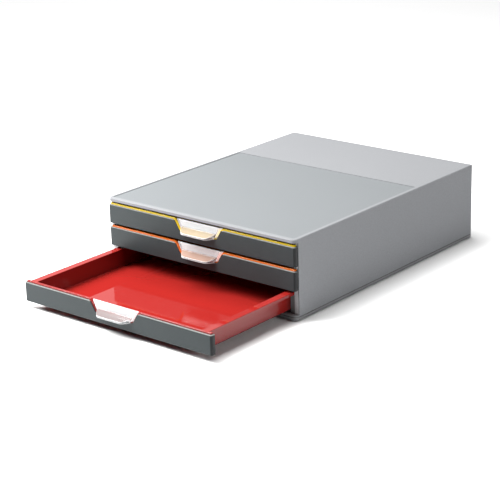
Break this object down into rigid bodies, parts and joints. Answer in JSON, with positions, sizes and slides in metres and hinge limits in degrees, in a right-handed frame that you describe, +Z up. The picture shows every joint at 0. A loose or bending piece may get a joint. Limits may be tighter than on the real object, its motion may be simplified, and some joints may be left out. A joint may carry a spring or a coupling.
{
  "type": "letter tray stack with drawers",
  "caption": "Low desk-top drawer box for flat papers: plain casing, shallow coloured sliding trays, dark fronts with clear label grips.",
  "frame": {"origin": "centre of the casing's footprint, on the desk plane", "axes": "+X to the user's right, +Y from the drawer fronts to the back, +Z up"},
  "size_m": [0.28, 0.5053, 0.095],
  "materials": {
    "casing_grey": "fine-grained light grey",
    "back_grey": "fine-grained light grey",
    "base_grey": "fine-grained grey",
    "runner_grey": "smooth grey",
    "foot_rubber": "matt",
    "tray_red": "glossy red",
    "tray_orange": "glossy orange",
    "tray_yellow": "glossy yellow",
    "panel_anthracite": "satin anthracite",
    "holder_clear": "clear and glossy",
    "card_white": "white paper"
  },
  "bodies": {
    "casing": {"casing_shell": "casing_grey", "back_panel": "back_grey", "base_tray": "base_grey", "runner_panel_left": "runner_grey", "runner_panel_right": "runner_grey", "foot_front_left": "foot_rubber", "foot_front_right": "foot_rubber", "foot_back_left": "foot_rubber", "foot_back_right": "foot_rubber"},
    "drawer_bottom": {"tray_bottom": "tray_red", "front_panel_bottom": "panel_anthracite", "label_holder_bottom": "holder_clear", "label_card_bottom": "card_white"},
    "drawer_middle": {"tray_middle": "tray_orange", "front_panel_middle": "panel_anthracite", "label_holder_middle": "holder_clear", "label_card_middle": "card_white"},
    "drawer_top": {"tray_top": "tray_yellow", "front_panel_top": "panel_anthracite", "label_holder_top": "holder_clear", "label_card_top": "card_white"}
  },
  "joints": [
    {"name": "drawer_bottom_slide", "type": "slide", "parent": "casing", "child": "drawer_bottom", "axis": [0, -1, 0], "range_m": [-0.14, 0.11]},
    {"name": "drawer_middle_slide", "type": "slide", "parent": "casing", "child": "drawer_middle", "axis": [0, -1, 0], "range_m": [0, 0.25]},
    {"name": "drawer_top_slide", "type": "slide", "parent": "casing", "child": "drawer_top", "axis": [0, -1, 0], "range_m": [0, 0.25]}
  ]
}
